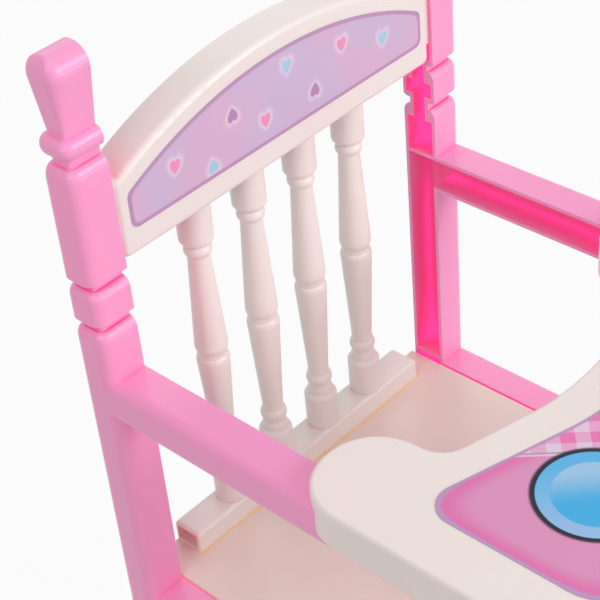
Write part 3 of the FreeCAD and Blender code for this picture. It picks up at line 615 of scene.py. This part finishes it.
# %% Tray label: napkin
corner_x, corner_y = -63.5, -70.3
edge_x, edge_y = 0.656, -0.755


def along_and_off(across):
    """Distances along the napkin's edge and away from it."""
    right = maths(tree, "SUBTRACT", across, corner_x)
    rear = maths(tree, "SUBTRACT", back, corner_y)
    along = maths(tree, "MULTIPLY_ADD", right, edge_x, maths(tree, "MULTIPLY", rear, edge_y))
    off = maths(tree, "MULTIPLY_ADD", right, -edge_y, maths(tree, "MULTIPLY", rear, edge_x))
    return along, off


def stripe(value, first, width=7.2):
    """1 on every second stripe of a width, with slightly soft edges."""
    phase = maths(tree, "PINGPONG", maths(tree, "SUBTRACT", value, first + width / 2), width)
    return maths(tree, "SUBTRACT", 1.0, ramp(tree, phase, width / 2 - 0.25, width / 2 + 0.25))


along, off = along_and_off(across)
weft, warp = stripe(along, 4.6), stripe(off, 6.5)
gingham = mix_colour(tree, maths(tree, "MULTIPLY", maths(tree, "ADD", weft, warp), 0.5),
                     linear(228, 204, 226), linear(236, 122, 182))
mirrored = along_and_off(maths(tree, "MULTIPLY", sideways, -1.0))[1]
middle_pink = mix_colour(tree, ramp(tree, edge, 2.0, 11.0), linear(226, 116, 178), linear(222, 148, 190))
white_hem = maths(tree, "SUBTRACT", ramp(tree, mirrored, -2.0, -1.4), ramp(tree, mirrored, -0.6, -0.2))
field = mix_colour(tree, maths(tree, "MULTIPLY", white_hem, 0.6), middle_pink, linear(240, 226, 236))
field = mix_colour(tree, ramp(tree, mirrored, -0.5, 0.0), field, linear(170, 160, 172))
field = mix_colour(tree, ramp(tree, mirrored, 0.5, 0.9), field, gingham)
print("napkin corner at", (corner_x, corner_y))

# %% [markdown]
# The dishes lie over the napkin, and the border comes last.

# %% Tray label: plate, bowl and border
# each dish: place across, place back and radius
dishes = [(-63.6, -112.2, 29.8), (68.0, -108.0, 23.0)]
for x, y, radius in dishes:
    dish = place_group(tree, plate, Across=maths(tree, "SUBTRACT", across, x),
                       Back=maths(tree, "SUBTRACT", back, y), Radius=radius)
    slope = dish.outputs["Slope"]
    rim = mix_colour(tree, slope, linear(150, 190, 232), linear(92, 182, 232))
    well = mix_colour(tree, ramp(tree, slope, 0.35, 0.95), linear(66, 174, 228), linear(158, 200, 232))
    field = mix_colour(tree, dish.outputs["Outline"], field, linear(14, 14, 36))
    field = mix_colour(tree, dish.outputs["Disc"], field, rim)
    field = mix_colour(tree, dish.outputs["Well"], field, well)
border = maths(tree, "SUBTRACT", 1.0, ramp(tree, edge, 1.0, 2.2))
field = mix_colour(tree, border, field, linear(192, 150, 194))
print_on(tree, shader, field)
wear(tray_label, "tray_label")
print("dishes on the tray:", len(dishes))

# %% [markdown]
# ## Screws
#
# The chair is put together with small pan-head screws. The exact solids give each screw's place and
# length as plain pegs with a rounded head, so each set is replaced by real-looking ones: a lathed
# profile with a thread, and a cross recess cut into the dome. The places are read back from the solids:
# every loose part of the mesh is one screw, its longest side is its axis, and its wide end is its head.

# %% Steel
steel, tree, shader = new_material("screw steel")
shader.inputs["Metallic"].default_value = 1.0
put_skin_on(tree, shader, relief=0.04 * MM, strength=1.0,
            Colour=linear(205, 205, 210), Drift=0.2, Roughness=0.3, Handling=0.3)
print("metal:", steel.name)

# %% [markdown]
# A screw is turned like on a lathe: an outline from the top of the head down to the tip, swept round the
# axis. The thread is a row of shallow grooves, and the dome is a quarter of an ellipse on a low wall.

# %% Screw mesh
around = 28
dome_steps, dome_wall = 6, 0.35
pitch, thread_start, groove_share = 1.2 * MM, 0.8 * MM, 0.78


def screw_mesh(length, head_radius, shank_radius, head_height):
    """A pan-head screw: head up along +Z with its seat at 0, a threaded shank below."""
    outline = [(0.0, head_height)]
    for step in range(1, dome_steps + 1):
        turn = step / dome_steps * math.pi / 2
        rise = dome_wall + (1 - dome_wall) * math.cos(turn)
        outline.append((head_radius * math.sin(turn), head_height * rise))
    outline += [(head_radius, 0.0), (shank_radius, 0.0)]
    z = -thread_start
    while z > -(length - 2 * pitch):
        outline += [(shank_radius, z), (shank_radius * groove_share, z - pitch / 2)]
        z -= pitch
    outline += [(shank_radius, z), (0.0, -length)]
    mesh = bmesh.new()
    rings = []
    for radius, height in outline:
        if radius == 0:
            rings.append([mesh.verts.new((0, 0, height))])
            continue
        rings.append([mesh.verts.new((radius * math.cos(a), radius * math.sin(a), height))
                      for a in (math.tau * k / around for k in range(around))])
    for first, second in zip(rings, rings[1:]):
        for k in range(around):
            after = (k + 1) % around
            corners = [first[k % len(first)], second[k % len(second)],
                       second[after % len(second)], first[after % len(first)]]
            mesh.faces.new(list(dict.fromkeys(corners)))
    bmesh.ops.recalc_face_normals(mesh, faces=mesh.faces)
    return mesh


print("screw thread:", int(1 / (pitch / MM) * 10), "grooves in 10 mm")

# %% [markdown]
# The cross recess is cut by a tapered cross that stands a little out of the dome.

# %% Cross recess
cross_taper, cross_stand_out = 0.45, 0.2 * MM


def cross_cutter(reach, width, depth, top):
    """A tapered cross, to cut the recess of a screw head."""
    mesh = bmesh.new()
    half = width / 2
    plan = [(half, half), (half, reach), (-half, reach), (-half, half), (-reach, half),
            (-reach, -half), (-half, -half), (-half, -reach), (half, -reach), (half, -half),
            (reach, -half), (reach, half)]
    upper = [mesh.verts.new((x, y, top + cross_stand_out)) for x, y in plan]
    lower = [mesh.verts.new((x * cross_taper, y * cross_taper, top - depth)) for x, y in plan]
    mesh.faces.new(upper)
    mesh.faces.new(lower[::-1])
    for k in range(len(plan)):
        after = (k + 1) % len(plan)
        mesh.faces.new((upper[k], lower[k], lower[after], upper[after]))
    bmesh.ops.recalc_face_normals(mesh, faces=mesh.faces)
    return mesh


def to_object(mesh, name):
    """A linked object from a bmesh."""
    data = bpy.data.meshes.new(name)
    mesh.to_mesh(data)
    mesh.free()
    made = bpy.data.objects.new(name, data)
    bpy.context.scene.collection.objects.link(made)
    return made


def cut_away(piece, cutter):
    """Cuts one object out of another and removes the cutter."""
    cut = piece.modifiers.new("recess", "BOOLEAN")
    cut.object = cutter
    cut.solver = "EXACT"
    bpy.context.view_layer.update()
    depsgraph = bpy.context.evaluated_depsgraph_get()
    result = bpy.data.meshes.new_from_object(piece.evaluated_get(depsgraph))
    piece.modifiers.clear()
    piece.data = result
    bpy.data.objects.remove(cutter)


print("screw helpers: cross_cutter, to_object, cut_away")

# %% [markdown]
# Each solid peg tells where its screw goes. The parts are taken in the order of the mesh's own vertices,
# so the screws come out the same every time.

# %% Read the screws' places


def loose_parts(node):
    """The points of each loose part of a CAD node's mesh, welded where its faces only touch."""
    mesh = bmesh.new()
    mesh.from_mesh(nodes[node].data)
    bmesh.ops.remove_doubles(mesh, verts=mesh.verts, dist=0.01 * MM)
    waiting = set(mesh.verts)
    parts = []
    for start in mesh.verts:
        if start not in waiting:
            continue
        waiting.discard(start)
        reached, part = [start], []
        while reached:
            vertex = reached.pop()
            part.append(vertex.co.copy())
            for link in vertex.link_edges:
                other = link.other_vert(vertex)
                if other in waiting:
                    waiting.discard(other)
                    reached.append(other)
        parts.append(part)
    mesh.free()
    return parts


def screw_from(points):
    """Head top, head direction, whole length and head radius of a screw from its points."""
    low = Vector(min(p[k] for p in points) for k in range(3))
    high = Vector(max(p[k] for p in points) for k in range(3))
    size = high - low
    axis = max(range(3), key=lambda k: size[k])
    head_width = size[(axis + 1) % 3]
    along = Vector(float(k == axis) for k in range(3))
    centre = (low + high) / 2
    wide = [p for p in points if (p - centre - (p - centre)[axis] * along).length > 0.3 * head_width]
    head_up = sum(p[axis] for p in wide) / len(wide) > centre[axis]
    direction = along * (1 if head_up else -1)
    top = centre + direction * size[axis] / 2
    return top, direction, size[axis], head_width / 2


crest_parts = loose_parts("crest_screws")
print("crest screws:", len(crest_parts), "with length in mm", round(screw_from(crest_parts[0])[2] / MM, 1))

# %% [markdown]
# Each set is made at the places of its pegs and rides with the body that they hold. Every screw is
# turned a little further than the one before, as no two are driven to the same angle.

# %% Make the screws
head_height, shank_radius = 2.2 * MM, 1.5 * MM
recess = {"reach": 1.8 * MM, "width": 0.7 * MM, "depth": 1.3 * MM}
first_turn, next_turn = 0.5, 0.9
screw_sets = {"crest_screws": "chair", "seat_screws": "chair", "stretcher_screws": "chair",
              "footrest_screws": "chair", "back_rail_screws": "chair", "tray_clip_screws": "tray"}
for node, body in screw_sets.items():
    joined = bmesh.new()
    for number, points in enumerate(loose_parts(node)):
        top, direction, length, head_radius = screw_from(points)
        blank = screw_mesh(length - head_height, head_radius, shank_radius, head_height)
        one = to_object(blank, "blank")
        cut_away(one, to_object(cross_cutter(top=head_height, **recess), "cutter"))
        turn = Matrix.Rotation(first_turn + number * next_turn, 4, "Z")
        stand = direction.to_track_quat("Z", "Y").to_matrix().to_4x4()
        one.data.transform(Matrix.Translation(top - direction * head_height) @ stand @ turn)
        joined.from_mesh(one.data)
        bpy.data.objects.remove(one)
    screws = to_object(joined, node + "_threaded")
    screws.data.materials.append(steel)
    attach(screws, body)
    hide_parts(node)
    print(screws.name, "made with", len(screws.data.polygons), "faces")

# %% [markdown]
# ## Floor, background and light
#
# The chair stands on a plain pale floor. A pale background comes from the floor and the world, which the
# camera sees as white, and not from more light on the chair.

# %% Share of the camera's rays


def camera_share(tree):
    """1 for rays that come straight from the camera, or through a reflection or glass."""
    path = add_node(tree, "ShaderNodeLightPath")
    direct = maths(tree, "MAXIMUM", path.outputs["Is Camera Ray"], path.outputs["Is Glossy Ray"])
    return maths(tree, "MAXIMUM", direct, path.outputs["Is Transmission Ray"])


print("background helper: camera_share")

# %% [markdown]
# The floor lights the chair from below like a matt grey sheet, and looks almost white itself. What is
# left of the grey in the camera's view carries the chair's soft shadow.

# %% Floor
floor_half, floor_grey, floor_white = 12.0, 0.66, 0.93
floor_mesh = bpy.data.meshes.new("floor")
corners = [(-1, -1), (1, -1), (1, 1), (-1, 1)]
floor_mesh.from_pydata([(x * floor_half, y * floor_half, 0.0) for x, y in corners], [], [(0, 1, 2, 3)])
floor = bpy.data.objects.new("floor", floor_mesh)
bpy.context.scene.collection.objects.link(floor)
floor_material = bpy.data.materials.new("pale floor")
floor_material.use_nodes = True
tree = floor_material.node_tree
tree.nodes.clear()
matt = add_node(tree, "ShaderNodeBsdfDiffuse")
matt.inputs["Color"].default_value = (floor_grey, floor_grey, floor_grey, 1)
glow = add_node(tree, "ShaderNodeEmission")
glow.inputs["Color"].default_value = (1, 1, 1, 1)
share = maths(tree, "MULTIPLY", camera_share(tree), floor_white)
both = add_node(tree, "ShaderNodeMixShader")
feed(tree, both.inputs[0], share)
tree.links.new(matt.outputs[0], both.inputs[1])
tree.links.new(glow.outputs[0], both.inputs[2])
surface = add_node(tree, "ShaderNodeOutputMaterial")
tree.links.new(both.outputs[0], surface.inputs["Surface"])
floor_mesh.materials.append(floor_material)
print("floor of", 2 * floor_half, "m, grey", floor_grey)

# %% [markdown]
# The world gives a share of even light to the chair, and full white to the camera.

# %% World
ambient = 0.55
world = bpy.data.worlds.new("studio")
bpy.context.scene.world = world
world.use_nodes = True
tree = world.node_tree
sky = tree.nodes["Background"]
seen = camera_share(tree)
feed(tree, sky.inputs["Strength"], maths(tree, "MULTIPLY_ADD", seen, 1 - ambient, ambient))
feed(tree, sky.inputs["Color"], (1, 1, 1, 1))
print("even light from the world:", ambient)

# %% [markdown]
# Three soft lamps give an even studio light that shows a colour about as it is written: a large key
# from the front, a smaller one from high on the left, and one from behind that lights the rims.

# %% Lamps


def soft_lamp(name, place, aim, size, power):
    """A square area lamp at a place, turned to an aim; its power is in watts."""
    data = bpy.data.lights.new(name, "AREA")
    data.energy = power
    data.size = size
    lamp = bpy.data.objects.new(name, data)
    lamp.location = place
    lamp.rotation_mode = "QUATERNION"
    lamp.rotation_quaternion = (Vector(aim) - Vector(place)).to_track_quat("-Z", "Y")
    bpy.context.scene.collection.objects.link(lamp)
    return lamp


middle = (cad_low + cad_high) / 2
lamps = [
    soft_lamp("key", (0.7, -1.7, 1.2), middle, size=1.0, power=21),
    soft_lamp("high left", (-0.8, -0.15, 1.2), cad_high, size=0.5, power=2.4),
    soft_lamp("back rim", (0.9, 1.1, 1.3), middle, size=0.8, power=2),
]
print("lamps:", [(lamp.name, round(lamp.data.energy, 1)) for lamp in lamps])

# %% [markdown]
# The standard view shows colours without a film-like curve.

# %% View
bpy.context.scene.view_settings.view_transform = "Standard"
print("view transform:", bpy.context.scene.view_settings.view_transform)
